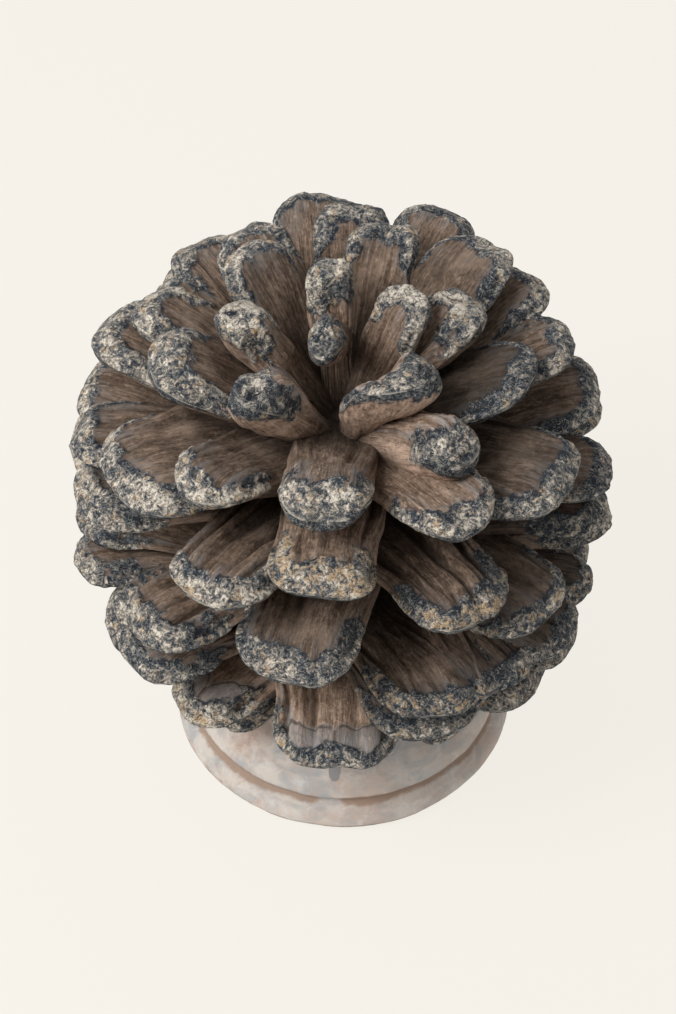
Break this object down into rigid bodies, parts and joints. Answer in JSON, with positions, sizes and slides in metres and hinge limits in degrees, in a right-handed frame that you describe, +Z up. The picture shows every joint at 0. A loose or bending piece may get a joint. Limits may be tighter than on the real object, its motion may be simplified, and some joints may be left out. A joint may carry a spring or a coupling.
{
  "type": "pine cone ornament on a turned plinth",
  "caption": "Open stone-pine cone with thick, curled scales, standing upright on a round, turned and limewashed plinth with a grooved rim.",
  "frame": {"origin": "centre of the plinth's flat underside", "axes": "+Z up along the cone's own axis; -Y is the side seen first"},
  "size_m": [0.282, 0.2768, 0.3055],
  "materials": {
    "cone_wood": "matt weathered brown scale faces with fine lengthwise fibres; blue-grey lips heavily speckled with cream and ochre",
    "limewash": "matt grey-white limewash rubbed thin over pinkish-brown wood, darker in the groove and along the rim"
  },
  "bodies": {
    "root": {"pine_cone": "cone_wood", "plinth": "limewash"}
  },
  "joints": []
}
